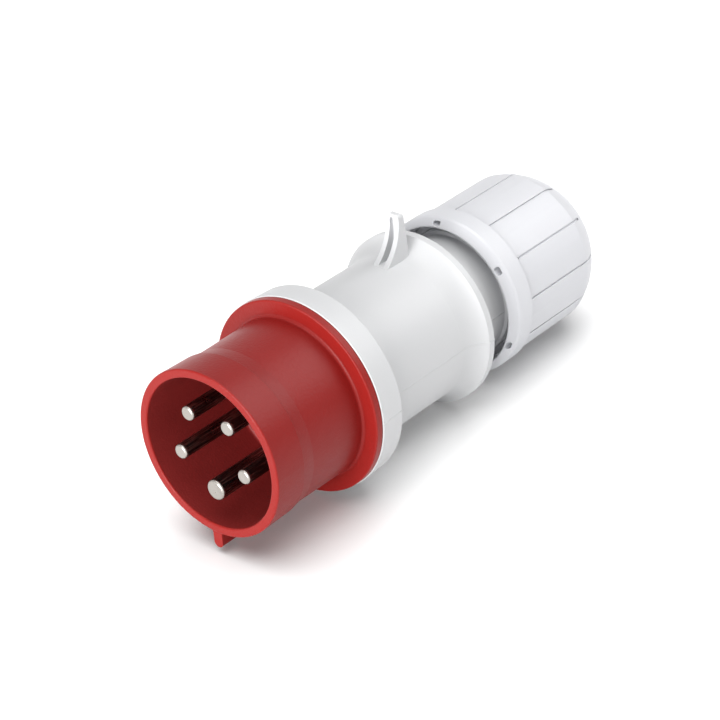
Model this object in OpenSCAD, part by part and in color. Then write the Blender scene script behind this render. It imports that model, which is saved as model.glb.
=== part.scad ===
// Industrial pin and sleeve plug, five poles, with a screwed cable gland.
// The plug's axis runs along +Y from its mouth to its cable entry, the locating
// key and the earth pin are at the bottom and the retaining hook is on top.

/* [Pins] */
// Diameter of the circle that the five pins stand on
pin_circle_d = 27.5; // [26:0.25:29]
// Diameter of each phase and neutral pin
line_pin_d = 5; // [4:0.1:5.6]
// Diameter of the earth pin
earth_pin_d = 7; // [6:0.1:7.6]
// Distance from the mouth to the tips of the phase and neutral pins
line_tip_y = 1; // [0.5:0.1:6]
// Distance from the mouth to the tip of the earth pin
earth_tip_y = 1.3; // [0.5:0.1:6]
// Chamfer at the tip of every pin
tip_chamfer = 0.8; // [0.3:0.1:1.2]
// Diameter of a phase or neutral terminal barrel
line_barrel_d = 8; // [7:0.1:8.4]
// Diameter of the earth terminal barrel
earth_barrel_d = 9; // [8.2:0.1:9.4]
// Length of each terminal barrel
barrel_l = 15; // [13:0.5:18]
// How far the collar of a pin stands out around its barrel
pin_collar_h = 0.7; // [0.4:0.1:0.9]
// How much thicker than its shaft a pin is, all round, where it passes the floor
pin_root_h = 0.4; // [0.2:0.1:0.6]
// Thickness of the collar that stops a pin in its carrier
pin_collar_t = 1.6; // [1:0.1:2.4]
// Diameter of the wire hole in each terminal
wire_hole_d = 3.6; // [2.6:0.1:4]
// Depth of the wire hole in each terminal
wire_hole_l = 11; // [9.5:0.5:12]
// Diameter of each terminal screw's shank
screw_d = 3.9; // [3:0.1:4.2]
// Diameter of each terminal screw's head
screw_head_d = 5.6; // [5:0.1:6.2]
// Height of each terminal screw's head
screw_head_h = 1.8; // [1.2:0.1:2.2]
// Height of a terminal screw's tip above the middle of the wire hole
screw_tip_z = 0.4; // [0.1:0.1:1.4]
// Distance from the open end of a barrel to its screw
screw_setback = 5; // [3.8:0.1:6]
// Width of every screwdriver slot
slot_w = 0.9; // [0.6:0.1:1.2]
// Depth of every screwdriver slot
slot_depth = 0.9; // [0.5:0.1:1.1]

/* [Shroud] */
// Outer diameter at the mouth
mouth_d = 57; // [56.6:0.1:58]
// Inner diameter at the mouth
mouth_bore_d = 51.1; // [50:0.1:52]
// Inner diameter at the floor
floor_bore_d = 50.4; // [49:0.1:51]
// Rounding of the mouth's rim
rim_round = 0.6; // [0.3:0.1:1.1]
// Outer diameter at the rear end of the front band
band_d = 56.4; // [55.6:0.1:56.6]
// Length of the front band
band_l = 12.4; // [8:0.2:18]
// Height of the small step at the rear end of the front band
band_step = 0.15; // [0.05:0.05:0.3]
// Length of the taper behind the front band
band_taper_l = 5; // [2:0.5:8]
// Outer diameter of the waist behind the front band
waist_d = 54.8; // [54:0.1:55.4]
// Outer diameter where the shroud meets its flange
root_d = 55.3; // [54.6:0.1:56]
// Depth from the mouth to the floor that the pins stand out of
floor_y = 38; // [34:0.5:39]
// Thickness of the floor
floor_t = 3; // [2:0.1:4]
// Diameter of the shroud's flange
flange_d = 66.5; // [65:0.1:68]
// Distance from the mouth to the front face of the flange
flange_y = 40.4; // [39.5:0.1:42]
// Thickness of the flange
flange_t = 2.8; // [2:0.1:4]
// Rounding of the flange's front edge
flange_edge = 0.5; // [0.2:0.1:0.9]
// Fillet between the shroud and its flange
flange_fillet = 1; // [0.4:0.1:1.4]
// How far the flange stands out past the spigot that enters the housing
spigot_inset = 3.65; // [3.2:0.05:4]
// Wall of the spigot
spigot_wall = 2.2; // [1.6:0.1:3]
// Length of the spigot
spigot_l = 7; // [5.5:0.1:7.2]
// Height of the snap bead round the spigot
bead_h = 0.4; // [0.2:0.1:0.7]
// Width of the snap bead
bead_w = 1.4; // [0.8:0.1:2]
// Width of the locating key
key_w = 3.6; // [3:0.1:5]
// Height of the key's tip above the plug's axis
key_reach = 34; // [31:0.1:35]
// Width of the key at its foot
key_foot_w = 5.2; // [5:0.1:7]
// Diameter of the boss on the back of the floor
floor_boss_d = 9; // [7.5:0.1:10]
// Length of the boss on the back of the floor
floor_boss_l = 7; // [5:0.5:8]

/* [Contact carrier] */
// Gap between the carrier and the tube around it
carrier_gap = 0.5; // [0.3:0.1:1]
// Diameter of the flutes down the carrier's side
flute_d = 8; // [5:0.5:9]
// How far the flutes cut into the carrier
flute_depth = 2.2; // [1:0.1:3]
// Diameter of the holes that give a screwdriver its way to the terminals
access_d = 6.6; // [6.3:0.1:7]
// Thickness of the cap over the terminals
cap_t = 3; // [2.4:0.1:4]
// Diameter of the mouth of each wire funnel in the cap
funnel_d = 6; // [4.6:0.1:6.6]
// Diameter of the screw that holds the carrier
centre_screw_d = 4; // [3:0.1:4.6]
// Diameter of that screw's head
centre_head_d = 7.4; // [6:0.1:8.4]
// Height of that screw's head
centre_head_h = 2.4; // [1.6:0.1:3]
// How deep that screw enters the floor's boss
centre_grip = 5; // [3:0.5:6]
// Free depth of the boss's hole past the end of that screw
centre_end_gap = 1; // [0.4:0.1:2]

/* [Housing] */
// How far the collar's front stands out past the shroud's flange
collar_proud = 0.35; // [0:0.05:0.8]
// How much the collar's radius falls from its front to its back
collar_draft = 0.45; // [0.1:0.05:0.9]
// Length of the collar
collar_l = 9.8; // [8.6:0.1:12]
// Rounding of the collar's edges
collar_edge = 0.4; // [0.2:0.1:0.9]
// Thickness of the collar's rear wall
collar_back_t = 2; // [1.4:0.1:2.4]
// Outer diameter of the tube
tube_d = 52.2; // [51.4:0.1:53.4]
// Wall of the tube
tube_wall = 2.6; // [2:0.1:2.7]
// Fillet where the tube leaves the collar
collar_fillet = 0.8; // [0.3:0.1:1.6]
// Distance from the mouth to the start of the rear skirt's flare
flare_y = 92.6; // [90:0.2:94]
// Radius of the flare
flare_r = 10; // [8:0.5:12]
// Outer diameter of the rear skirt
skirt_d = 61.1; // [60:0.1:63]
// Distance from the mouth to the skirt's rear rim
skirt_y = 103.9; // [103:0.1:105]
// Rounding of the skirt's rim
skirt_edge = 0.6; // [0.3:0.1:1]
// Wall of the skirt
skirt_wall = 2.2; // [1.6:0.1:2.6]
// Chamfer at the end of the neck
neck_chamfer = 1; // [0.4:0.1:1.4]
// Distance from the mouth to the bottom of the recess behind the skirt
recess_y = 97; // [96:0.2:99]
// Outer diameter of the neck
neck_d = 43.6; // [42:0.1:44.4]
// Wall of the neck
neck_wall = 2.4; // [1.8:0.1:2.8]
// Distance from the mouth to the start of the threaded land
land_y = 121.5; // [119:0.5:123]
// Diameter of the threaded land
land_d = 45.2; // [44.8:0.1:46]
// Distance from the mouth to the end of the neck
neck_end_y = 136; // [134:0.5:138]

/* [Retaining hook] */
// Height of the hook's tip above the plug's axis
hook_top = 41.8; // [38:0.1:44]
// Width of the hook at its foot
hook_foot_w = 6; // [5:0.1:8]
// Width of the hook at its tip
hook_tip_w = 4.9; // [4:0.1:6]
// Distance from the mouth to the back of the hook at its foot
hook_back_y = 96.2; // [95.5:0.1:97]
// How far the hook's back leans forward at its tip
hook_lean = 1; // [0:0.1:1.6]
// Thickness of the hook at its tip
hook_tip_t = 2.6; // [2:0.1:3.4]
// Radius of the hook's hollow front
hook_hollow_r = 17.7; // [16:0.1:22]
// Width of the groove down the hook's front
hook_groove_w = 2.1; // [1.2:0.1:2.6]
// Thickness left behind the groove
hook_web_t = 1.3; // [0.9:0.1:1.8]
// Height of the groove's floor above the tube
hook_groove_foot = 0.2; // [0.1:0.1:0.6]
// Rounding of the hook's tip, seen from the front
hook_tip_round = 1.3; // [0.6:0.1:1.8]

/* [Flange gasket] */
// Distance from the spigot out to the gasket
gasket_offset = 1.1; // [0.8:0.1:1.4]
// Width of the gasket
gasket_w = 1.5; // [1:0.1:2]
// Thickness of the gasket
gasket_t = 1.2; // [0.8:0.1:1.8]

/* [Cable clamp] */
// Outer diameter of the clamp basket's seat ring
basket_d = 41; // [39.6:0.1:41.4]
// Thickness of the seat ring
basket_seat_t = 2.8; // [2:0.1:3.6]
// Outer diameter of the fingers at their root
finger_root_d = 36; // [34:0.1:36.4]
// Clearance round the finger tips when the nut is tightened
finger_gap = 0.3; // [0.2:0.05:0.5]
// Inner diameter of the basket
basket_bore_d = 25.2; // [24.4:0.1:25.6]
// Length of the fingers
finger_l = 14; // [11:0.5:14.5]
// Number of fingers
finger_count = 10; // [6:1:12]
// Width of the slots between the fingers
finger_slot_w = 1.6; // [1:0.1:2.4]
// Height of the ring left between the seat ring and the slots
finger_web = 1; // [0.6:0.1:2]
// Inner diameter of the cable seal
seal_bore_d = 16.4; // [12:0.1:18]
// Length of the cable seal's sleeve
seal_l = 16; // [12:0.5:17]
// Thickness of the flange on the cable seal
seal_flange_t = 2; // [1.4:0.1:3]
// Diameter of the flange on the cable seal
seal_flange_d = 31; // [28:0.5:34]
// Chamfer at the end of the seal's sleeve
seal_chamfer = 1; // [0.5:0.1:1.6]

/* [Gland nut] */
// Distance from the mouth to the nut's front edge
nut_y = 117.1; // [116.6:0.1:118.6]
// Inner diameter of the nut's front edge
nut_front_bore_d = 51.8; // [50:0.1:52.4]
// Length of the cone at the nut's front
nut_cone_l = 3; // [2:0.1:4]
// Width of the flat edge at the nut's front
nut_lip = 0.4; // [0.2:0.1:0.8]
// Width of the bevel between the cone and the ring
ring_bevel = 0.4; // [0.2:0.1:0.8]
// Length of the bevel between the cone and the ring
ring_bevel_l = 1; // [0.4:0.1:1.4]
// How much the nut's smooth front bore narrows towards its thread
nut_lead_draft = 0.5; // [0.1:0.1:0.8]
// Diameter of the ring round the nut's front
ring_d = 57.4; // [57:0.1:58.4]
// Distance from the nut's front edge to the end of the ring
ring_l = 9.8; // [8.6:0.1:11]
// Length of the chamfer behind the ring
ring_chamfer = 0.9; // [0.4:0.1:1.4]
// Diameter of the nut across the grooves
panel_d = 55.7; // [55:0.1:56.4]
// How much each panel is flatter than round
panel_flat = 0.1; // [0.05:0.05:0.6]
// Number of panels round the nut
panel_count = 12; // [8:1:16]
// Turn of the panels at rest
panel_turn = 23.6; // [0:0.2:30]
// Width of the grooves between the panels
groove_w = 0.7; // [0.5:0.1:1.5]
// Depth of the grooves
groove_depth = 0.6; // [0.2:0.1:0.8]
// Distance from the nut's front edge to the front end of the grooves
groove_start = 11.2; // [10.9:0.1:14]
// Distance from the nut's front edge to the rear end of the grooves
groove_end = 47.4; // [40:0.2:50]
// Radius of the nut's domed end
dome_r = 24.8; // [23.5:0.1:26]
// Overall length of the nut, less the cable entry
nut_l = 60.6; // [60:0.1:62]
// How far the nut moves from its place here to fully tightened
nut_travel = 12.5; // [9:0.1:12.8]
// Diameter of the cable entry
entry_d = 19; // [17:0.1:21]
// Rounding of the cable entry's edge
entry_round = 1.6; // [0.8:0.1:2.4]
// Number of slots in the nut's front cone
slot_count = 6; // [4:1:12]
// Length of each slot round the nut
front_slot_l = 3; // [2.4:0.1:4]
// Width of each slot
front_slot_w = 1.4; // [1:0.1:1.6]
// Diameter of the circle that the slots stand on
front_slot_circle_d = 54; // [53.8:0.1:54.2]
// Depth of each slot
front_slot_depth = 12; // [4:0.5:14]
// Depth of the smooth bore in front of the nut's thread
nut_lead_l = 7; // [5:0.1:9]
// Length of the nut's thread
nut_thread_l = 26; // [20:0.5:27]
// Diameter of the chamber behind the thread
chamber_d = 43.8; // [42:0.1:44.6]
// Length of the chamber behind the thread
chamber_l = 10.5; // [8:0.1:11.5]
// Diameter at the inner end of the chamber's cone
chamber_cone_d = 23; // [21:0.1:25]
// Length of the chamber's cone
chamber_cone_l = 10.5; // [9:0.1:11.5]
// Length of the straight front of the thrust ring
thrust_lead_l = 4.5; // [3:0.1:7]
// Distance from the thrust ring's rear face to the inside of the nut's end
thrust_rear_gap = 1.5; // [0.8:0.1:2.5]
// Inner diameter of the thrust ring at its front
thrust_mouth_d = 37; // [36.6:0.1:38]
// Inner diameter of the thrust ring at its rear
thrust_bore_d = 21; // [19.4:0.1:21.6]

/* [Fits] */
// Radial clearance between fixed pieces
seat_gap = 0.15; // [0.05:0.01:0.2]
// Radial clearance round the pins and the screws
pin_gap = 0.05; // [0.02:0.01:0.1]
// Radial running clearance of the nut on the neck
thread_gap = 0.08; // [0.02:0.01:0.1]
// Running clearance between the thrust ring and the nut
thrust_gap = 0.2; // [0.1:0.01:0.3]

/* [Hidden] */

// Directions of the pins round the axis, from the top towards +X
L1_TURN = 108;
L2_TURN = 36;
L3_TURN = -36;
N_TURN = -108;
E_TURN = 180;
PIN_TURNS = [L1_TURN, L2_TURN, L3_TURN, N_TURN, E_TURN];
pin_pitch = 360 / len(PIN_TURNS);

RED = [0.72, 0.10, 0.09];
LIGHT_GREY = [0.82, 0.83, 0.84];
PALE_GREY = [0.88, 0.88, 0.90];
BLACK_PLASTIC = [0.10, 0.10, 0.11];
DARK_GREY = [0.33, 0.34, 0.35];
NICKEL = [0.78, 0.77, 0.74];
STEEL = [0.70, 0.71, 0.72];
RUBBER = [0.07, 0.07, 0.07];

ROUND = 96;
SMALL_ROUND = 32;
EPS = 0.5;          // overlap of a cutter past the face that it cuts

// Places along the axis that several pieces share
floor_back_y = floor_y + floor_t;
flange_back_y = flange_y + flange_t;
spigot_end_y = flange_back_y + spigot_l;
bead_y = flange_back_y + spigot_l / 2;
collar_end_y = flange_back_y + collar_l;
barrel_front_y = floor_back_y + pin_collar_t;
barrel_end_y = barrel_front_y + barrel_l;
screw_y = barrel_end_y - screw_setback;
carrier_end_y = barrel_end_y;
cap_end_y = carrier_end_y + cap_t;
nut_end_y = nut_y + nut_l;
thread_y = nut_y + nut_lead_l;
chamber_y = thread_y + nut_thread_l;
cone_y = chamber_y + chamber_l;
cone_end_y = cone_y + chamber_cone_l;
seat_y = neck_end_y - basket_seat_t;
thrust_front_y = cone_y - thrust_lead_l;
thrust_rear_y = cone_end_y - thrust_gap - thrust_rear_gap;

// Diameters and radii that follow from the sizes above
spigot_d = flange_d - 2 * spigot_inset;
gasket_inner_d = spigot_d + 2 * gasket_offset;
carrier_d = tube_d - 2 * (tube_wall + carrier_gap);
tube_bore_r = tube_d / 2 - tube_wall;
neck_bore_r = neck_d / 2 - neck_wall;
socket_r = spigot_d / 2 + seat_gap;

// The square corner at [x, y] less its inscribed arc, on the side of [sx, sy]:
// added, it fillets an inner corner, and cut, it rounds an outer one.
module corner(x, y, r, sx, sy) {
    difference() {
        translate([x + min(0, sx * r) - (sx > 0 ? EPS : 0),
                   y + min(0, sy * r) - (sy > 0 ? EPS : 0)])
            square(r + EPS);
        translate([x + sx * r, y + sy * r]) circle(r = r, $fn = SMALL_ROUND);
    }
}

// Turns a section of [radius, distance from the mouth] round the plug's axis.
module turned(fn = ROUND) {
    rotate([-90, 0, 0]) rotate_extrude($fn = fn) children();
}

// A straight rod along the axis direction from y0 to y1.
module rod(d, y0, y1, fn = SMALL_ROUND) {
    translate([0, y0, 0]) rotate([-90, 0, 0]) cylinder(d = d, h = y1 - y0, $fn = fn);
}

// Turns a thing at the top of the plug round the axis towards +X.
module swing(angle) {
    rotate([0, angle, 0]) children();
}

// Moves a thing on the axis onto the pin circle in the given direction.
module on_pin_circle(angle) {
    swing(angle) translate([0, 0, pin_circle_d / 2]) children();
}

// ---------------------------------------------------------------- shroud

module shroud_section() {
    mouth_r = mouth_d / 2;
    bore_r = mouth_bore_d / 2;
    root_r = root_d / 2;
    flange_r = flange_d / 2;
    spigot_r = spigot_d / 2;
    difference() {
        union() {
            polygon([
                [bore_r, 0], [mouth_r, 0], [band_d / 2, band_l], [band_d / 2 - band_step, band_l],
                [waist_d / 2, band_l + band_taper_l],
                [root_r, flange_y - 2 * flange_fillet], [root_r, flange_y],
                [flange_r, flange_y], [flange_r, flange_back_y],
                [spigot_r, flange_back_y], [spigot_r, spigot_end_y],
                [spigot_r - spigot_wall, spigot_end_y],
                [spigot_r - spigot_wall, floor_back_y],
                [0, floor_back_y], [0, floor_y], [floor_bore_d / 2, floor_y],
                [floor_bore_d / 2, floor_y - 2 * flange_fillet]
            ]);
            corner(root_r, flange_y, flange_fillet, 1, -1);
            corner(floor_bore_d / 2, floor_y, flange_fillet, -1, -1);
            translate([spigot_r, bead_y]) scale([bead_h * 2, bead_w])
                rotate(45) square(sqrt(0.5), center = true);
        }
        corner(bore_r, 0, rim_round, 1, 1);
        corner(mouth_r, 0, rim_round, -1, 1);
        corner(flange_r, flange_y, flange_edge, -1, 1);
    }
}

// The rib under the mouth that finds the keyway of the mating half.
module key_rib() {
    tip_z = key_reach - key_w / 2;
    root_z = waist_d / 2 - rim_round;
    foot_z = mouth_d / 2 + rim_round;
    translate([0, flange_back_y, 0]) rotate([90, 0, 0])
        linear_extrude(flange_back_y - rim_round / 2) {
            translate([0, -tip_z]) circle(d = key_w, $fn = SMALL_ROUND);
            polygon([
                [-key_foot_w / 2, -root_z], [-key_w / 2, -foot_z], [-key_w / 2, -tip_z],
                [key_w / 2, -tip_z], [key_w / 2, -foot_z], [key_foot_w / 2, -root_z]
            ]);
        }
}

module shroud() {
    color(RED) difference() {
        union() {
            turned() shroud_section();
            key_rib();
            rod(floor_boss_d, floor_y + floor_t / 2, floor_back_y + floor_boss_l);
        }
        for (turn = PIN_TURNS)
            on_pin_circle(turn)
                rod(pin_root_d(turn) + 2 * pin_gap, floor_y - EPS, floor_back_y + EPS);
        rod(centre_screw_d + 2 * pin_gap, floor_back_y + floor_boss_l - centre_grip - centre_end_gap,
            floor_back_y + floor_boss_l + EPS);
    }
}

module flange_gasket() {
    color(RUBBER) turned()
        translate([gasket_inner_d / 2, flange_back_y]) square([gasket_w, gasket_t]);
}

// ---------------------------------------------------------------- pins

function pin_d(turn) = turn == E_TURN ? earth_pin_d : line_pin_d;
function tip_y(turn) = turn == E_TURN ? earth_tip_y : line_tip_y;
function barrel_d(turn) = turn == E_TURN ? earth_barrel_d : line_barrel_d;
function pin_collar_d(turn) = barrel_d(turn) + 2 * pin_collar_h;
function pin_root_d(turn) = pin_d(turn) + 2 * pin_root_h;

// A pin with its terminal barrel, standing on the plug's axis.
module pin_on_axis(turn) {
    r = pin_d(turn) / 2;
    y = tip_y(turn);
    difference() {
        union() {
            turned(SMALL_ROUND * 1.5) difference() {
                translate([0, y]) square([r, floor_y + floor_t / 2 - y]);
                corner(r, y, tip_chamfer, -1, 1);
            }
            rod(pin_root_d(turn), floor_y, floor_back_y);
            rod(pin_collar_d(turn), floor_back_y, barrel_front_y);
            rod(barrel_d(turn), barrel_front_y, barrel_end_y);
        }
        rod(wire_hole_d, barrel_end_y - wire_hole_l, barrel_end_y + EPS);
        translate([0, screw_y, 0])
            cylinder(d = screw_d + 2 * pin_gap, h = barrel_d(turn), $fn = SMALL_ROUND);
    }
}

module pin(turn) {
    color(NICKEL) on_pin_circle(turn) pin_on_axis(turn);
}

// The screw that clamps a wire in its terminal, driven from outside the carrier.
module terminal_screw(turn) {
    head_z = barrel_d(turn) / 2;
    color(STEEL) on_pin_circle(turn) translate([0, screw_y, 0]) difference() {
        union() {
            translate([0, 0, screw_tip_z])
                cylinder(d = screw_d, h = head_z + screw_head_h / 2 - screw_tip_z, $fn = SMALL_ROUND);
            translate([0, 0, head_z]) cylinder(d = screw_head_d, h = screw_head_h, $fn = SMALL_ROUND);
        }
        translate([-screw_head_d, -slot_w / 2, head_z + screw_head_h - slot_depth])
            cube([2 * screw_head_d, slot_w, slot_depth + EPS]);
    }
}

module pin_l1() { pin(L1_TURN); }
module pin_l2() { pin(L2_TURN); }
module pin_l3() { pin(L3_TURN); }
module pin_n() { pin(N_TURN); }
module pin_e() { pin(E_TURN); }
module terminal_screw_l1() { terminal_screw(L1_TURN); }
module terminal_screw_l2() { terminal_screw(L2_TURN); }
module terminal_screw_l3() { terminal_screw(L3_TURN); }
module terminal_screw_n() { terminal_screw(N_TURN); }
module terminal_screw_e() { terminal_screw(E_TURN); }

// ---------------------------------------------------------------- carrier

module contact_carrier() {
    color(BLACK_PLASTIC) difference() {
        rod(carrier_d, floor_back_y, carrier_end_y, ROUND);
        for (turn = PIN_TURNS) {
            on_pin_circle(turn) {
                rod(pin_collar_d(turn) + 2 * seat_gap, floor_back_y - EPS, barrel_front_y);
                rod(barrel_d(turn) + 2 * seat_gap, floor_back_y, carrier_end_y + EPS);
                translate([0, screw_y, 0])
                    cylinder(d = access_d, h = carrier_d, $fn = SMALL_ROUND);
            }
            swing(turn + pin_pitch / 2)
                translate([0, 0, carrier_d / 2 + flute_d / 2 - flute_depth])
                    rod(flute_d, floor_back_y + floor_t, carrier_end_y + EPS);
        }
        rod(floor_boss_d + 2 * seat_gap, floor_back_y - EPS, floor_back_y + floor_boss_l);
        rod(centre_screw_d + 2 * seat_gap, floor_back_y, carrier_end_y + EPS);
    }
}

module carrier_cap() {
    color(DARK_GREY) difference() {
        rod(carrier_d, carrier_end_y, cap_end_y, ROUND);
        for (turn = PIN_TURNS) {
            on_pin_circle(turn) {
                rod(wire_hole_d + 2 * pin_gap, carrier_end_y - EPS, cap_end_y + EPS);
                translate([0, cap_end_y + EPS, 0]) rotate([90, 0, 0])
                    cylinder(d1 = funnel_d + EPS, d2 = wire_hole_d, h = cap_t / 2 + EPS,
                             $fn = SMALL_ROUND);
            }
            swing(turn + pin_pitch / 2)
                translate([0, 0, carrier_d / 2 + flute_d / 2 - flute_depth])
                    rod(flute_d, carrier_end_y - EPS, cap_end_y + EPS);
        }
        rod(centre_screw_d + 2 * seat_gap, carrier_end_y - EPS, cap_end_y + EPS);
    }
}

module carrier_screw() {
    color(STEEL) difference() {
        union() {
            rod(centre_screw_d, floor_back_y + floor_boss_l - centre_grip, cap_end_y + EPS);
            rod(centre_head_d, cap_end_y, cap_end_y + centre_head_h);
        }
        translate([-centre_head_d, cap_end_y + centre_head_h - slot_depth, -slot_w / 2])
            cube([2 * centre_head_d, slot_depth + EPS, slot_w]);
    }
}

// ---------------------------------------------------------------- housing

module housing_section() {
    front_r = flange_d / 2 + collar_proud;
    back_r = front_r - collar_draft;
    tube_r = tube_d / 2;
    skirt_r = skirt_d / 2;
    neck_r = neck_d / 2;
    land_r = land_d / 2;
    bore_r = basket_d / 2 + seat_gap;
    flare = [tube_r + flare_r, flare_y];
    difference() {
        union() {
            // collar
            difference() {
                polygon([
                    [tube_bore_r, collar_end_y - collar_back_t], [socket_r, collar_end_y - collar_back_t],
                    [socket_r, flange_back_y], [front_r, flange_back_y],
                    [back_r, collar_end_y], [tube_bore_r, collar_end_y]
                ]);
                corner(front_r, flange_back_y, collar_edge, -1, 1);
                corner(back_r, collar_end_y, collar_edge, -1, -1);
            }
            corner(tube_r, collar_end_y, collar_fillet, 1, 1);
            // tube
            translate([tube_bore_r, collar_end_y - collar_back_t])
                square([tube_wall, recess_y - collar_end_y + collar_back_t]);
            // skirt that flares out of the tube
            difference() {
                translate([neck_r - neck_wall, flare_y])
                    square([skirt_r - neck_r + neck_wall, skirt_y - flare_y]);
                translate(flare) circle(r = flare_r, $fn = ROUND);
                corner(skirt_r, skirt_y, skirt_edge, -1, -1);
                difference() {
                    translate([neck_r, recess_y])
                        square([skirt_r - skirt_wall - neck_r, skirt_y - recess_y + EPS]);
                    translate(flare) circle(r = flare_r + skirt_wall, $fn = ROUND);
                }
            }
            // neck with its threaded land
            polygon([
                [neck_bore_r, recess_y - skirt_wall], [neck_r, recess_y - skirt_wall],
                [neck_r, land_y - (land_r - neck_r)], [land_r, land_y],
                [land_r, neck_end_y - neck_chamfer], [land_r - neck_chamfer, neck_end_y],
                [neck_bore_r, neck_end_y]
            ]);
        }
        // bore of the tube, up to the shoulder of the neck
        translate([0, collar_end_y - collar_back_t - EPS])
            square([tube_bore_r, recess_y - skirt_wall - collar_end_y + collar_back_t + EPS]);
        // groove for the snap bead of the shroud
        translate([socket_r, bead_y]) scale([bead_h * 2, bead_w + 2 * seat_gap])
            rotate(45) square(sqrt(0.5), center = true);
        // groove for the gasket in the collar's front face
        translate([gasket_inner_d / 2 - seat_gap, flange_back_y - EPS])
            square([gasket_w + 2 * seat_gap, gasket_t + EPS]);
        // seat of the clamp basket
        translate([0, seat_y]) square([bore_r, basket_seat_t + EPS]);
    }
}

// Side outline of the hook in [distance from the mouth, height above the axis].
module hook_side() {
    tip_back_y = hook_back_y - hook_lean;
    tip_front_y = tip_back_y - hook_tip_t;
    foot_z = tube_d / 2 - tube_wall / 2;
    difference() {
        polygon([
            [tip_front_y - hook_hollow_r, foot_z], [hook_back_y, foot_z],
            [tip_back_y, hook_top], [tip_front_y - hook_hollow_r, hook_top]
        ]);
        translate([tip_front_y - hook_hollow_r, hook_top - hook_tip_round]) {
            circle(r = hook_hollow_r, $fn = ROUND);
            translate([-EPS, 0]) square([hook_hollow_r + EPS, hook_tip_round + EPS]);
        }
        corner(tip_back_y, hook_top, hook_tip_t / 3, -1, -1);
        corner(tip_front_y, hook_top, hook_tip_t / 3, 1, -1);
    }
}

// Front outline of the hook in [across, height above the axis].
module hook_front() {
    difference() {
        polygon([
            [-hook_foot_w / 2, 0], [hook_foot_w / 2, 0], [hook_foot_w / 2, tube_d / 2],
            [hook_tip_w / 2, hook_top], [-hook_tip_w / 2, hook_top], [-hook_foot_w / 2, tube_d / 2]
        ]);
        for (side = [-1, 1])
            corner(side * hook_tip_w / 2, hook_top, hook_tip_round, -side, -1);
    }
}

module hook() {
    tip_back_y = hook_back_y - hook_lean;
    difference() {
        intersection() {
            rotate([90, 0, 90]) translate([0, 0, -hook_foot_w])
                linear_extrude(2 * hook_foot_w) hook_side();
            translate([0, skirt_y, 0]) rotate([90, 0, 0]) linear_extrude(skirt_y - flange_y) hook_front();
        }
        // the groove down the front leaves two ribs and a web
        translate([-hook_groove_w / 2, flange_y, tube_d / 2 + hook_groove_foot])
            cube([hook_groove_w, tip_back_y - hook_web_t - flange_y,
                  hook_top - hook_tip_round - tube_d / 2]);
    }
}

module housing() {
    color(LIGHT_GREY) union() {
        turned() housing_section();
        hook();
    }
}

// ---------------------------------------------------------------- cable clamp

// Radius of the thrust ring's inner cone at a distance y from the mouth.
function thrust_cone_r(y) =
    (thrust_mouth_d - (thrust_mouth_d - thrust_bore_d) * (y - thrust_front_y)
        / (thrust_rear_y - thrust_front_y)) / 2;

module clamp_basket() {
    finger_y = seat_y + basket_seat_t;
    tip = finger_y + finger_l;
    color(DARK_GREY) difference() {
        turned() polygon([
            [basket_bore_d / 2, seat_y], [basket_d / 2, seat_y], [basket_d / 2, finger_y],
            [finger_root_d / 2, finger_y], [thrust_cone_r(tip + nut_travel) - finger_gap, tip],
            [basket_bore_d / 2, tip]
        ]);
        for (i = [0 : finger_count - 1])
            swing((i + 0.5) * 360 / finger_count)
                translate([-finger_slot_w / 2, finger_y + finger_web, 0])
                    cube([finger_slot_w, finger_l, finger_root_d]);
    }
}

module cable_seal() {
    sleeve_r = basket_bore_d / 2 - seat_gap;
    color(RUBBER) turned() polygon([
        [seal_bore_d / 2, seat_y - seal_flange_t], [seal_flange_d / 2, seat_y - seal_flange_t],
        [seal_flange_d / 2, seat_y], [sleeve_r, seat_y],
        [sleeve_r, seat_y + seal_l - seal_chamfer], [sleeve_r - seal_chamfer, seat_y + seal_l],
        [seal_bore_d / 2, seat_y + seal_l]
    ]);
}

// ---------------------------------------------------------------- gland nut

// The slip ring inside the nut: its cone presses the fingers onto the cable.
module thrust_ring() {
    outer_r = chamber_d / 2 - thrust_gap;
    slope = (chamber_d - chamber_cone_d) / 2 / chamber_cone_l;
    rear_r = chamber_d / 2 - thrust_gap - slope * (thrust_rear_y - cone_y);
    color(DARK_GREY) turned() polygon([
        [thrust_mouth_d / 2, thrust_front_y], [outer_r, thrust_front_y],
        [outer_r, cone_y - thrust_gap / 2], [rear_r, thrust_rear_y],
        [thrust_bore_d / 2, thrust_rear_y]
    ]);
}

// Cross-section of the panelled body; `inset` shrinks it evenly.
module panel_section(inset) {
    half = 180 / panel_count;
    corner_x = panel_d / 2 * sin(half);
    corner_z = panel_d / 2 * cos(half);
    sagitta = panel_d / 2 - panel_flat - corner_z;
    arc_r = (corner_x * corner_x + sagitta * sagitta) / (2 * sagitta);
    intersection_for(i = [0 : panel_count - 1])
        rotate((i + 0.5) * 360 / panel_count)
            translate([0, panel_d / 2 - panel_flat - arc_r])
                circle(r = arc_r - inset, $fn = ROUND * 2);
}

// The nut's body behind its ring, with its domed end; `inset` shrinks it evenly.
module nut_body(inset) {
    dome_y = nut_end_y - dome_r;
    body_r = ring_d / 2;
    intersection() {
        rotate([-90, 0, 0]) translate([0, 0, nut_y + ring_l - ring_chamfer])
            linear_extrude(nut_l - ring_l + ring_chamfer) rotate(-panel_turn) panel_section(inset);
        turned() intersection() {
            translate([0, thread_y]) square([body_r - inset, nut_end_y - thread_y]);
            union() {
                translate([0, thread_y]) square([body_r - inset, dome_y - thread_y]);
                translate([body_r - dome_r, dome_y]) circle(r = dome_r - inset, $fn = ROUND);
                translate([0, dome_y]) square([body_r - dome_r, dome_r - inset]);
            }
        }
    }
}

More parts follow.
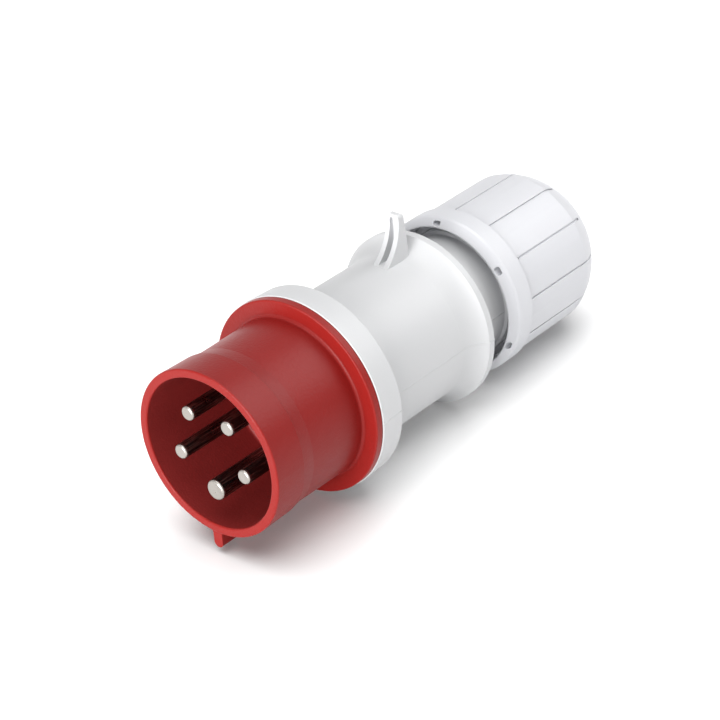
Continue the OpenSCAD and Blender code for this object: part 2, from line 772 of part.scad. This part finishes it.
module nut_ring_section() {
    ring_r = ring_d / 2;
    bore_r = nut_front_bore_d / 2;
    inner_r = bore_r - 2 * nut_lead_draft;
    cone_end = nut_y + nut_cone_l - ring_bevel_l / 2;
    polygon([
        [inner_r, nut_y + nut_lead_l], [inner_r, nut_y], [bore_r + nut_lip, nut_y],
        [ring_r - ring_bevel, cone_end], [ring_r, cone_end + ring_bevel_l],
        [ring_r, nut_y + ring_l], [panel_d / 2 - panel_flat, nut_y + ring_l + ring_chamfer],
        [inner_r, nut_y + ring_l + ring_chamfer]
    ]);
}

module nut_cavity_section() {
    entry_r = entry_d / 2;
    polygon([
        [0, nut_y - EPS], [nut_front_bore_d / 2, nut_y - EPS], [nut_front_bore_d / 2, nut_y],
        [nut_front_bore_d / 2 - nut_lead_draft, thread_y], [land_d / 2 + thread_gap, thread_y],
        [land_d / 2 + thread_gap, chamber_y], [chamber_d / 2, chamber_y],
        [chamber_d / 2, cone_y], [chamber_cone_d / 2, cone_end_y],
        [entry_r, cone_end_y], [entry_r, nut_end_y + EPS], [0, nut_end_y + EPS]
    ]);
    corner(entry_r, nut_end_y, entry_round, 1, -1);
}

module gland_nut() {
    color(PALE_GREY) difference() {
        union() {
            turned() nut_ring_section();
            nut_body(groove_depth);
            difference() {
                nut_body(0);
                for (i = [0 : panel_count - 1])
                    swing(panel_turn + i * 360 / panel_count)
                        translate([-groove_w / 2, nut_y + groove_start, 0])
                            cube([groove_w, groove_end - groove_start, panel_d]);
            }
        }
        turned() nut_cavity_section();
        for (i = [0 : slot_count - 1])
            swing(panel_turn + (i + 0.5) * 360 / slot_count)
                translate([0, 0, front_slot_circle_d / 2]) front_slot();
    }
}

module front_slot() {
    reach = (front_slot_l - front_slot_w) / 2;
    for (side = [-1, 1])
        translate([side * reach, 0, 0])
            rod(front_slot_w, nut_y - EPS, nut_y + front_slot_depth, 24);
    translate([-reach, nut_y - EPS, -front_slot_w / 2])
        cube([2 * reach, front_slot_depth + EPS, front_slot_w]);
}

shroud();
flange_gasket();
housing();
contact_carrier();
carrier_cap();
carrier_screw();
pin_l1();
pin_l2();
pin_l3();
pin_n();
pin_e();
terminal_screw_l1();
terminal_screw_l2();
terminal_screw_l3();
terminal_screw_n();
terminal_screw_e();
clamp_basket();
cable_seal();
thrust_ring();
gland_nut();
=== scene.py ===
"""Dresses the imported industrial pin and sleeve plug: finishes, mould details, studio and camera."""
import math

import bpy
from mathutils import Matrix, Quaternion, Vector
from mathutils.bvhtree import BVHTree


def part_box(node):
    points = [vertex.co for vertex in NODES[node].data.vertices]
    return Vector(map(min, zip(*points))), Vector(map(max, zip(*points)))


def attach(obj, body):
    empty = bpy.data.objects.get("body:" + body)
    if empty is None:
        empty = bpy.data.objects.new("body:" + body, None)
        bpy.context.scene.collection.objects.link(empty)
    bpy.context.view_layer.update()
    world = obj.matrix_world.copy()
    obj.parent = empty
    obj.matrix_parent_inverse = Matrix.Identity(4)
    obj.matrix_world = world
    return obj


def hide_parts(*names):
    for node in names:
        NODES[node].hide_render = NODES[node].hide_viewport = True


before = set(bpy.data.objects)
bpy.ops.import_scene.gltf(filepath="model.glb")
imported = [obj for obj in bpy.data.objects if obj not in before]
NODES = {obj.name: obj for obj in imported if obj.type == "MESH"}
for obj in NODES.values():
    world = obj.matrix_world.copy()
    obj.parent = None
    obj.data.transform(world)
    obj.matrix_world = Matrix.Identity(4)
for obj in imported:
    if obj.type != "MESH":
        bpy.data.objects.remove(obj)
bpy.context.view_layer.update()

bl_info = {
    "name": "Industrial plug looks",
    "version": (1, 0, 0),
    "blender": (4, 5, 0),
    "location": "3D View > Sidebar > Plug",
    "description": "Finishes, mould details and studio for an industrial pin and sleeve plug",
    "category": "Object",
}

MM = 0.001
PIN_NAMES = ("l1", "l2", "l3", "n", "e")
SEAL_RIBS = 6
RING_SIDES = 96
SMOOTH_ANGLE = math.radians(35)
MIDDLE = 80 * MM

HOUSING_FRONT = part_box("housing")[0].y
NUT_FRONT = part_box("gland_nut")[0].y
SEAL_LOW, SEAL_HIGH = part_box("cable_seal")

RIM_DEPTH = (0.5 * MM, 0.9 * MM)
FLANGE_RADII = (28.6 * MM, 29.2 * MM)
INSIDE_RADII = (26.0 * MM, 26.6 * MM)
JOINT_GAP = (0.35 * MM, 0.1 * MM)
PIN_TIP = (1.9 * MM, 2.5 * MM)
# Strengths of the sleeve's painted light: a painted highlight on the rim and the flange, a pale
# painted light inside, and a painted shadow just before the housing.
RIM_PAINTED_HIGHLIGHT, INSIDE_PAINTED_LIGHT, GAP_PAINTED_SHADOW = 0.05, 0.016, 0.75

LOW_SIDE = -20 * MM
SLOPE_STEP, SLOPE_STEPS = 0.0005, 200
FLOOR_SIZE, FLOOR_CUTS, FLOOR_GAP = 6, 8, 0.05 * MM
FLOOR_FADE = (0.4, 0.9)
FILM_WIDTH = 36


def resting_plane():
    """Slope and height, under the plug's middle, of the flat that it lies on."""
    low = [vertex.co for node in ("shroud", "housing", "gland_nut")
           for vertex in NODES[node].data.vertices if vertex.co.z < LOW_SIDE]

    def height(slope):
        return min(co.z - slope * (co.y - MIDDLE) for co in low)

    slope = max((step * SLOPE_STEP for step in range(SLOPE_STEPS)), key=height)
    return slope, height(slope)


# ------------------------------------------------------------ sizes and colours

def length(name, default, description):
    """A length property in metres, given in millimetres."""
    return bpy.props.FloatProperty(
        name=name, description=description, default=default * MM, unit="LENGTH", precision=5)


def colour(name, default, description):
    """A colour property without alpha."""
    return bpy.props.FloatVectorProperty(
        name=name, description=description, default=default, subtype="COLOR",
        size=3, min=0.0, max=1.0)


def number(name, default, description):
    """A plain number property."""
    return bpy.props.FloatProperty(name=name, description=description, default=default)


class PlugColours(bpy.types.PropertyGroup):
    """Colours of the plug's materials."""
    red: colour("Red", (0.265, 0.0125, 0.0105), "Body colour of the shroud")
    light_grey: colour("Light grey", (0.675, 0.68, 0.69), "Body colour of the housing")
    pale_grey: colour("Pale grey", (0.725, 0.73, 0.76), "Body colour of the gland nut")
    black: colour("Black", (0.02, 0.02, 0.022), "Body colour of the contact carrier")
    dark_grey: colour("Dark grey", (0.09, 0.095, 0.10), "Body colour of the clamp parts")
    rubber: colour("Rubber", (0.018, 0.018, 0.018), "Colour of the seal and the gasket")
    nickel: colour("Nickel", (0.42, 0.395, 0.365), "Colour of the plated pins")
    zinc: colour("Zinc", (0.60, 0.61, 0.63), "Colour of the plated screws")


class PlugSizes(bpy.types.PropertyGroup):
    """Sizes of the details that moulding leaves."""
    seam_width: length("Seam width", 0.36, "Width of the mould's parting line")
    seam_height: length("Seam height", 0.07, "How far the parting line stands out")
    grain_size: length("Grain size", 0.8, "Size of the fine grain on moulded faces")
    edge_radius: length("Edge radius", 0.2, "How far light softens an edge")
    rib_depth: length("Rib depth", 0.9, "Depth of the seal's grooves between its ribs")


class PlugStudio(bpy.types.PropertyGroup):
    """Camera, floor and lamps."""
    camera_place: bpy.props.FloatVectorProperty(
        name="Camera place", description="Where the camera stands", size=3, unit="LENGTH",
        subtype="TRANSLATION", default=(0.4489, -0.4251, 0.3805))
    camera_target: bpy.props.FloatVectorProperty(
        name="Camera target", description="What the camera looks at", size=3, unit="LENGTH",
        subtype="TRANSLATION", default=(-0.01676, 0.09052, -0.01606))
    camera_roll: bpy.props.FloatProperty(
        name="Camera roll", description="Turn of the camera about its view",
        default=math.radians(-4.515), unit="ROTATION")
    lens: number("Lens", 119.6, "Focal length in millimetres")
    ambient: number("Ambient", 0.01, "Light from all round")
    front_power: number("Front lamp", 21.1, "Power of the soft box before the mouth, on the right")
    mouth_power: number("Mouth lamp", 18.7, "Power of the small soft box straight before the mouth")
    top_power: number("Top lamp", 14.4, "Power of the soft box overhead")
    back_power: number("Back lamp", 9.4, "Power of the soft box behind and above")
    floor_power: number("Floor lamp", 52.0, "Power of the soft box that lights only the floor")
    floor_white: number("Floor white", 0.85, "How pale the floor is")
    floor_lift: number("Floor lift", 0.16, "How much the camera sees the floor's shadows lifted")
    floor_bounce: number("Floor bounce", 0.72, "How much light the floor throws back on the plug")


# ------------------------------------------------------------ shader building

class Signal:
    """A node's output that can be used in arithmetic: each operation adds a Math node."""

    def __init__(self, finish, socket):
        self.finish = finish
        self.socket = socket

    def _math(self, operation, first, second):
        return self.finish.node("ShaderNodeMath", {"operation": operation}, {0: first, 1: second})

    def __add__(self, other):
        return self._math("ADD", self, other)

    def __radd__(self, other):
        return self._math("ADD", other, self)

    def __rsub__(self, other):
        return self._math("SUBTRACT", other, self)

    def __mul__(self, other):
        return self._math("MULTIPLY", self, other)

    def __rmul__(self, other):
        return self._math("MULTIPLY", other, self)


class Finish:
    """A node tree under construction, for a material or for the world."""

    def __init__(self, owner):
        owner.use_nodes = True
        self.owner = owner
        self.tree = owner.node_tree
        self.tree.nodes.clear()

    def node(self, kind, settings=None, sockets=None, output=0):
        """Adds a node: its settings first, then the values or links of its sockets."""
        made = self.tree.nodes.new(kind)
        for name, value in (settings or {}).items():
            setattr(made, name, value)
        for name, value in (sockets or {}).items():
            if isinstance(value, Signal):
                self.tree.links.new(value.socket, made.inputs[name])
            else:
                made.inputs[name].default_value = value
        return Signal(self, made.outputs[output]) if made.outputs else None

    def place(self):
        """Object coordinates."""
        return self.node("ShaderNodeTexCoord", output="Object")

    def along(self):
        """The place along the plug's axis, in metres from the mouth."""
        return self.node("ShaderNodeSeparateXYZ", None, {0: self.place()}, output="Y")

    def radius(self):
        """The distance from the plug's axis, in metres."""
        flat = self.node("ShaderNodeVectorMath", {"operation": "MULTIPLY"},
                         {0: self.place(), 1: (1, 0, 1)})
        return self.length(flat)

    def length(self, vector):
        """The length of a vector."""
        return self.node("ShaderNodeVectorMath", {"operation": "LENGTH"}, {0: vector},
                         output="Value")

    def rise(self, value, start, end):
        """A smooth rise from 0 to 1 as a value goes from start to end."""
        return self.node("ShaderNodeMapRange", {"interpolation_type": "SMOOTHSTEP"},
                         {"Value": value, "From Min": start, "From Max": end})

    def noise(self, size, detail=2.0, stretch=(1, 1, 1)):
        """Noise from 0 to 1 whose blotches are about `size` metres across."""
        spot = self.node("ShaderNodeMapping", None, {"Vector": self.place(), "Scale": stretch})
        return self.node("ShaderNodeTexNoise", None,
                         {"Vector": spot, "Scale": 1 / size, "Detail": detail})

    def larger(self, first, second):
        """The larger of two values."""
        return self.node("ShaderNodeMath", {"operation": "MAXIMUM"}, {0: first, 1: second})

    def mix(self, factor, first, second):
        """A mix of two colours."""
        return self.node("ShaderNodeMix", {"data_type": "RGBA"},
                         {0: factor, 6: first, 7: second}, output=2)

    def bump(self, height, distance, normal=None):
        """A normal raised by a height from 0 to 1 over a distance in metres."""
        sockets = {"Height": height, "Distance": distance, "Strength": 1.0}
        if normal:
            sockets["Normal"] = normal
        return self.node("ShaderNodeBump", None, sockets)

    def surface(self, **sockets):
        """Ends a material in one Principled shader."""
        named = {name.replace("_", " "): value for name, value in sockets.items()}
        shader = self.node("ShaderNodeBsdfPrincipled", None, named)
        self.node("ShaderNodeOutputMaterial", None, {"Surface": shader})
        return self.owner


def shade(colour_value, factor):
    """A colour times a number, with alpha."""
    return (*(min(1.0, part * factor) for part in colour_value), 1.0)


def moulded(name, body, roughness, mottle=0.04, grain_depth=0.015, specular=0.5, edge_highlight_tone=1.3,
             paint=None):
    """Satin moulded plastic: slow mottling of tone and gloss over a very fine grain, with a painted
    highlight along its edges.
    """
    sizes = bpy.context.scene.plug_sizes
    finish = Finish(bpy.data.materials.new(name))
    clouds = finish.noise(18 * MM, 3.0)
    specks = finish.noise(1.6 * MM, 2.0)
    tone = finish.mix(clouds * 0.7 + specks * 0.3, shade(body, 1 - mottle), shade(body, 1 + mottle))
    if paint:
        tone = paint(finish, tone)
    grain = finish.noise(sizes.grain_size, 2.0)
    gloss = roughness - 0.06 + 0.06 * clouds + 0.06 * grain
    rounded = finish.node("ShaderNodeBevel", {"samples": 6}, {"Radius": sizes.edge_radius})
    sharp = finish.node("ShaderNodeNewGeometry", output="Normal")
    alike = finish.node("ShaderNodeVectorMath", {"operation": "DOT_PRODUCT"},
                        {0: rounded, 1: sharp}, output="Value")
    # Painted highlight: the base colour is lightened along edges, where the rounded normal parts from
    # the sharp one, in place of light caught by rounded edges.
    edge = finish.rise(1 - alike, 0.01, 0.25)
    tone = finish.mix(edge * 0.5, tone, shade(body, edge_highlight_tone))
    normal = finish.bump(grain, grain_depth * MM, normal=rounded)
    return finish.surface(Base_Color=tone, Roughness=gloss, Normal=normal,
                          IOR=1.5, Specular_IOR_Level=specular)


def sleeve_tone(finish, tone):
    """Paints light and shade on the sleeve: a painted highlight on the rim and the flange, a pale
    painted light on the sleeve's inside, and a painted shadow on the flange's side just before the
    housing.
    """
    along = finish.along()
    rim = 1 - finish.rise(along, *RIM_DEPTH)
    flange = finish.rise(finish.radius(), *FLANGE_RADII)
    # Painted shadow: the flange's side is darkened just before the housing's collar, where the gap
    # between the parts lies in shade.
    gap_shadow = flange * finish.rise(along, *(HOUSING_FRONT - gap for gap in JOINT_GAP))
    bright = finish.larger(rim, flange)
    inside = (1 - finish.rise(finish.radius(), *INSIDE_RADII)) * (1 - rim)
    # Painted highlight: the rim and the flange are mixed towards a brighter red.
    tone = finish.mix(bright * RIM_PAINTED_HIGHLIGHT, tone, (1.0, 0.05, 0.03, 1))
    # Painted light: the sleeve's inside is mixed a little towards white.
    tone = finish.mix(inside * INSIDE_PAINTED_LIGHT, tone, (1.0, 1.0, 1.0, 1))
    # The painted shadow in that gap, in near black.
    return finish.mix(gap_shadow * GAP_PAINTED_SHADOW, tone, (0.02, 0.002, 0.002, 1))


def plated(name, body, roughness, stretch, reflection_paint=None):
    """Plated metal with fine turning marks, which `stretch` draws out in each direction."""
    finish = Finish(bpy.data.materials.new(name))
    marks = finish.noise(0.5 * MM, 3.0, stretch)
    haze = finish.noise(4 * MM, 3.0)
    tone = finish.mix(haze, shade(body, 0.9), shade(body, 1.08))
    # An optional painted reflection is laid over the metal's tone here.
    if reflection_paint:
        tone = reflection_paint(finish, tone, marks)
    gloss = roughness + 0.10 * haze + 0.08 * marks
    normal = finish.bump(marks, 0.004 * MM)
    return finish.surface(Base_Color=tone, Roughness=gloss, Metallic=1.0, Normal=normal)


def dark_shaft(finish, tone, marks):
    """Paints a pin nearly black behind its bright tip, with a few brown streaks: a painted reflection
    of the sleeve's dark inside on metal that is bright.
    """
    # Painted reflection: dark shaft colours with brown streaks stand in for the dark inside that the
    # metal mirrors.
    reflected_streaks = finish.rise(marks, 0.45, 0.75)
    shaft = finish.mix(reflected_streaks, (0.10, 0.095, 0.09, 1), (0.42, 0.38, 0.34, 1))
    behind = finish.rise(finish.along(), *PIN_TIP)
    return finish.mix(behind, tone, shaft)


def rubbery(name, body):
    """Matt rubber with a dusty bloom."""
    finish = Finish(bpy.data.materials.new(name))
    bloom = finish.noise(3 * MM, 4.0)
    tone = finish.mix(bloom, shade(body, 0.7), shade(body, 1.9))
    normal = finish.bump(finish.noise(0.3 * MM, 3.0), 0.012 * MM)
    return finish.surface(Base_Color=tone, Roughness=0.66 + 0.16 * bloom, Normal=normal)


def dress(node, material):
    """Gives a CAD node its finish."""
    for slot in NODES[node].material_slots:
        slot.material = material


# ------------------------------------------------------------ modelling helpers

def deselect_all():
    """Leaves nothing selected, in object mode."""
    if bpy.context.object and bpy.context.object.mode != "OBJECT":
        bpy.ops.object.mode_set(mode="OBJECT")
    bpy.ops.object.select_all(action="DESELECT")


def settle(piece, name, body, material):
    """Names a finished piece, puts its place into its mesh and makes it ride."""
    deselect_all()
    piece.select_set(True)
    bpy.context.view_layer.objects.active = piece
    bpy.ops.object.transform_apply(location=True, rotation=True, scale=True)
    piece.name = name
    piece.data.name = name
    piece.data.materials.clear()
    piece.data.materials.append(material)
    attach(piece, body)


def material_of(node):
    """The finish that a CAD node wears."""
    return NODES[node].material_slots[0].material


def lathe(profile):
    """A closed ring turned about the plug's axis, from (place, radius) pairs in order."""
    deselect_all()
    place, radius = profile[0]
    bpy.ops.mesh.primitive_circle_add(
        vertices=RING_SIDES, radius=radius, location=(0, place, 0),
        rotation=(math.pi / 2, 0, 0))
    piece = bpy.context.object
    bpy.ops.object.mode_set(mode="EDIT")
    bpy.ops.mesh.select_all(action="SELECT")
    for next_place, next_radius in profile[1:]:
        step = {"value": (0, next_place - place, 0)}
        bpy.ops.mesh.extrude_edges_move(TRANSFORM_OT_translate=step)
        swell = next_radius / radius
        bpy.ops.transform.resize(value=(swell, 1, swell), center_override=(0, next_place, 0))
        place, radius = next_place, next_radius
    bpy.ops.mesh.select_all(action="DESELECT")
    bpy.ops.mesh.select_mode(type="EDGE")
    bpy.ops.mesh.select_non_manifold()
    bpy.ops.mesh.bridge_edge_loops()
    bpy.ops.mesh.select_all(action="SELECT")
    bpy.ops.mesh.normals_make_consistent(inside=False)
    bpy.ops.object.mode_set(mode="OBJECT")
    bpy.ops.object.shade_smooth_by_angle(angle=SMOOTH_ANGLE)
    return piece


def add_ribbed_seal():
    """Turns the cable seal with the ribs that grip the cable."""
    depth = bpy.context.scene.plug_sizes.rib_depth
    rings = [(v.co.y, math.hypot(v.co.x, v.co.z)) for v in NODES["cable_seal"].data.vertices]
    front, back, flange = SEAL_LOW.y, SEAL_HIGH.y, SEAL_HIGH.x
    bore = min(radius for place, radius in rings)
    sleeve = max(radius for place, radius in rings if place > (front + back) / 2)
    seat = max(place for place, radius in rings if radius > sleeve + 1 * MM)
    chamfer = max(place for place, radius in rings if radius > sleeve - 0.05 * MM)
    groove = bore + depth
    profile = [(seat, sleeve), (seat, flange), (front, flange), (front, groove)]
    pitch = (back - front) / SEAL_RIBS
    for rib in range(SEAL_RIBS):
        start = front + rib * pitch
        profile += [(start + 0.2 * pitch, groove), (start + 0.4 * pitch, bore),
                    (start + 0.6 * pitch, bore), (start + 0.8 * pitch, groove)]
    profile += [(back, groove), (back, sleeve - (back - chamfer)), (chamfer, sleeve)]
    seal = lathe(profile)
    settle(seal, "ribbed_seal", "plug_body", material_of("flange_gasket"))
    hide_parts("cable_seal")


def keep_faces(wanted):
    """Deletes the faces of the mesh in edit mode that a test on centre and normal turns down."""
    piece = bpy.context.object
    bpy.ops.mesh.select_all(action="DESELECT")
    bpy.ops.mesh.select_mode(type="FACE")
    bpy.ops.object.mode_set(mode="OBJECT")
    for face in piece.data.polygons:
        face.select = not wanted(face.center, face.normal)
    bpy.ops.object.mode_set(mode="EDIT")
    bpy.ops.mesh.delete(type="FACE")


def add_seams(name, node, body, material):
    """Raises the mould's parting lines on both sides of a CAD node, where it shows outside."""
    sizes = bpy.context.scene.plug_sizes
    deselect_all()
    source = NODES[node]
    piece = bpy.data.objects.new(name, source.data.copy())
    bpy.context.scene.collection.objects.link(piece)
    piece.select_set(True)
    bpy.context.view_layer.objects.active = piece
    bpy.ops.object.mode_set(mode="EDIT")
    bpy.ops.mesh.select_all(action="SELECT")
    bpy.ops.mesh.remove_doubles(threshold=0.001 * MM)
    for side in (1, -1):
        bpy.ops.mesh.select_all(action="SELECT")
        bpy.ops.mesh.bisect(plane_co=(0, 0, side * sizes.seam_width / 2),
                            plane_no=(0, 0, side), clear_outer=True)
    whole = BVHTree.FromObject(source, bpy.context.evaluated_depsgraph_get())

    def shows(centre, normal):
        outwards = Vector((math.copysign(1, centre.x), 0, 0))
        if normal.dot(outwards) < 0.2 or centre.y > NUT_FRONT - 3 * MM:
            return False
        return whole.ray_cast(centre + outwards * 0.1 * MM, outwards)[0] is None

    keep_faces(shows)
    bpy.ops.object.mode_set(mode="OBJECT")
    thicken = piece.modifiers.new("thicken", "SOLIDIFY")
    thicken.thickness = 2 * sizes.seam_height
    thicken.offset = 0
    bpy.ops.object.modifier_apply(modifier="thicken")
    settle(piece, name, body, material)


# ------------------------------------------------------------ operators

class PLUG_OT_shroud(bpy.types.Operator):
    """Finishes the red shroud and its gasket"""
    bl_idname = "plug.shroud"
    bl_label = "Shroud"

    def execute(self, context):
        colours = context.scene.plug_colours
        red = moulded("red_plastic", colours.red, 0.38, grain_depth=0.08, specular=0.22,
                      paint=sleeve_tone)
        dress("shroud", red)
        dress("flange_gasket", rubbery("rubber", colours.rubber))
        return {"FINISHED"}


class PLUG_OT_housing(bpy.types.Operator):
    """Finishes the grey housing and lays its parting lines"""
    bl_idname = "plug.housing"
    bl_label = "Housing"

    def execute(self, context):
        colours = context.scene.plug_colours
        grey = moulded("light_grey_plastic", colours.light_grey, 0.42, mottle=0.015)
        dress("housing", grey)
        add_seams("housing_seams", "housing", "plug_body", grey)
        return {"FINISHED"}


class PLUG_OT_contacts(bpy.types.Operator):
    """Finishes the pins, the terminal screws and what holds them"""
    bl_idname = "plug.contacts"
    bl_label = "Contacts"

    def execute(self, context):
        colours = context.scene.plug_colours
        nickel = plated("nickel_brass", colours.nickel, 0.2, (1, 0.05, 1), dark_shaft)
        zinc = plated("zinc_steel", colours.zinc, 0.24, (1, 1, 1))
        for name in PIN_NAMES:
            dress("pin_" + name, nickel)
            dress("terminal_screw_" + name, zinc)
        dress("carrier_screw", zinc)
        dress("contact_carrier", moulded("black_plastic", colours.black, 0.5))
        dress("carrier_cap", moulded("dark_grey_plastic", colours.dark_grey, 0.5))
        return {"FINISHED"}


class PLUG_OT_gland(bpy.types.Operator):
    """Finishes the gland nut, the clamp basket, the thrust ring and the cable seal"""
    bl_idname = "plug.gland"
    bl_label = "Cable gland"

    def execute(self, context):
        colours = context.scene.plug_colours
        dress("gland_nut", moulded("pale_grey_plastic", colours.pale_grey, 0.42, mottle=0.012))
        dark = material_of("carrier_cap")
        dress("clamp_basket", dark)
        dress("thrust_ring", dark)
        add_ribbed_seal()
        return {"FINISHED"}


class PLUG_OT_stage(bpy.types.Operator):
    """Sets up the floor, the lamps, the world and the camera"""
    bl_idname = "plug.stage"
    bl_label = "Studio"

    def execute(self, context):
        studio = context.scene.plug_studio
        context.scene.view_settings.view_transform = "Standard"
        floor = add_floor(studio)
        add_world(context.scene, studio)
        add_lamp("front_box", (0.35, -1.3, 0.2), 1.2, studio.front_power, floor, "EXCLUDE")
        add_lamp("mouth_box", (0.0, -1.5, 0.1), 0.7, studio.mouth_power, floor, "EXCLUDE")
        add_lamp("top_box", (0.1, 0.0, 1.4), 1.4, studio.top_power, floor, "EXCLUDE")
        add_lamp("back_box", (0.5, 1.0, 0.9), 1.0, studio.back_power, floor, "EXCLUDE")
        add_lamp("floor_box", (-0.05, 0.0, 1.4), 2.1, studio.floor_power, floor, "INCLUDE")
        add_camera(context.scene, studio)
        return {"FINISHED"}


def background_rays(finish):
    """1 for the rays that show the background: the camera's, and those by metal and glass."""
    camera, glossy, through = (
        finish.node("ShaderNodeLightPath", output=name)
        for name in ("Is Camera Ray", "Is Glossy Ray", "Is Transmission Ray"))
    return finish.larger(camera, finish.larger(glossy, through))


def add_floor(studio):
    """A pale floor under the plug, which lies on its key's rear end and its nut."""
    slope, height = resting_plane()
    deselect_all()
    bpy.ops.mesh.primitive_grid_add(
        x_subdivisions=FLOOR_CUTS, y_subdivisions=FLOOR_CUTS, size=FLOOR_SIZE,
        location=(0, MIDDLE, height - FLOOR_GAP), rotation=(math.atan(slope), 0, 0))
    floor = bpy.context.object
    floor.name = "floor"
    finish = Finish(bpy.data.materials.new("floor_white"))
    plain, seen = (finish.node("ShaderNodeBsdfDiffuse", None, {"Color": (part, part, part, 1)})
                   for part in (studio.floor_bounce, studio.floor_white))
    far = finish.rise(finish.length(finish.place()), *FLOOR_FADE)
    lift = finish.node("ShaderNodeEmission", None,
                       {"Strength": studio.floor_lift + (1 - studio.floor_lift) * far})
    lifted = finish.node("ShaderNodeAddShader", None, {0: seen, 1: lift})
    both = finish.node("ShaderNodeMixShader", None,
                       {0: background_rays(finish), 1: plain, 2: lifted})
    finish.node("ShaderNodeOutputMaterial", None, {"Surface": both})
    floor.data.materials.append(finish.owner)
    return floor


def add_world(scene, studio):
    """Even light from all round, on a background that shows white."""
    finish = Finish(bpy.data.worlds.new("studio"))
    strength = studio.ambient + (1 - studio.ambient) * background_rays(finish)
    back = finish.node("ShaderNodeBackground", None,
                       {"Color": (1, 1, 1, 1), "Strength": strength})
    finish.node("ShaderNodeOutputWorld", None, {"Surface": back})
    scene.world = finish.owner


def add_lamp(name, place, size, power, floor, state):
    """A square soft box that faces the plug's middle, and lights the floor alone or never."""
    deselect_all()
    target = Vector((0, MIDDLE, 0))
    turn = (target - Vector(place)).to_track_quat("-Z", "Y").to_euler()
    bpy.ops.object.light_add(type="AREA", location=place, rotation=turn)
    lamp = bpy.context.object
    lamp.name = name
    lamp.data.shape = "SQUARE"
    lamp.data.size = size
    lamp.data.energy = power
    lit = bpy.data.collections.new(name + "_lit")
    lit.objects.link(floor)
    lamp.light_linking.receiver_collection = lit
    lit.collection_objects[0].light_linking.link_state = state


def add_camera(scene, studio):
    """The camera, turned a little about its own view."""
    deselect_all()
    place = Vector(studio.camera_place)
    view = (Vector(studio.camera_target) - place).to_track_quat("-Z", "Y")
    turn = (view @ Quaternion((0, 0, 1), studio.camera_roll)).to_euler()
    bpy.ops.object.camera_add(location=place, rotation=turn)
    camera = bpy.context.object
    camera.data.lens = studio.lens
    camera.data.sensor_width = FILM_WIDTH
    scene.camera = camera


class PLUG_PT_panel(bpy.types.Panel):
    """Lists the plug's pieces"""
    bl_idname = "PLUG_PT_panel"
    bl_label = "Plug"
    bl_space_type = "VIEW_3D"
    bl_region_type = "UI"
    bl_category = "Plug"

    def draw(self, context):
        for operator in OPERATORS:
            self.layout.operator(operator.bl_idname)


GROUPS = {"plug_colours": PlugColours, "plug_sizes": PlugSizes, "plug_studio": PlugStudio}
OPERATORS = (PLUG_OT_shroud, PLUG_OT_housing, PLUG_OT_contacts, PLUG_OT_gland, PLUG_OT_stage)


def register():
    """Registers the classes and their settings."""
    for made in (*GROUPS.values(), *OPERATORS, PLUG_PT_panel):
        bpy.utils.register_class(made)
    for name, group in GROUPS.items():
        setattr(bpy.types.Scene, name, bpy.props.PointerProperty(type=group))


def unregister():
    """Removes the settings and the classes."""
    for name in GROUPS:
        delattr(bpy.types.Scene, name)
    for made in reversed((*GROUPS.values(), *OPERATORS, PLUG_PT_panel)):
        bpy.utils.unregister_class(made)


def plain(bounds):
    """Bounds as plain lists of numbers."""
    return [[float(part) for part in corner] for corner in bounds]


def main():
    register()
    for operator in OPERATORS:
        group, name = operator.bl_idname.split(".")
        getattr(getattr(bpy.ops, group), name)()


if __name__ == "__main__":
    main()
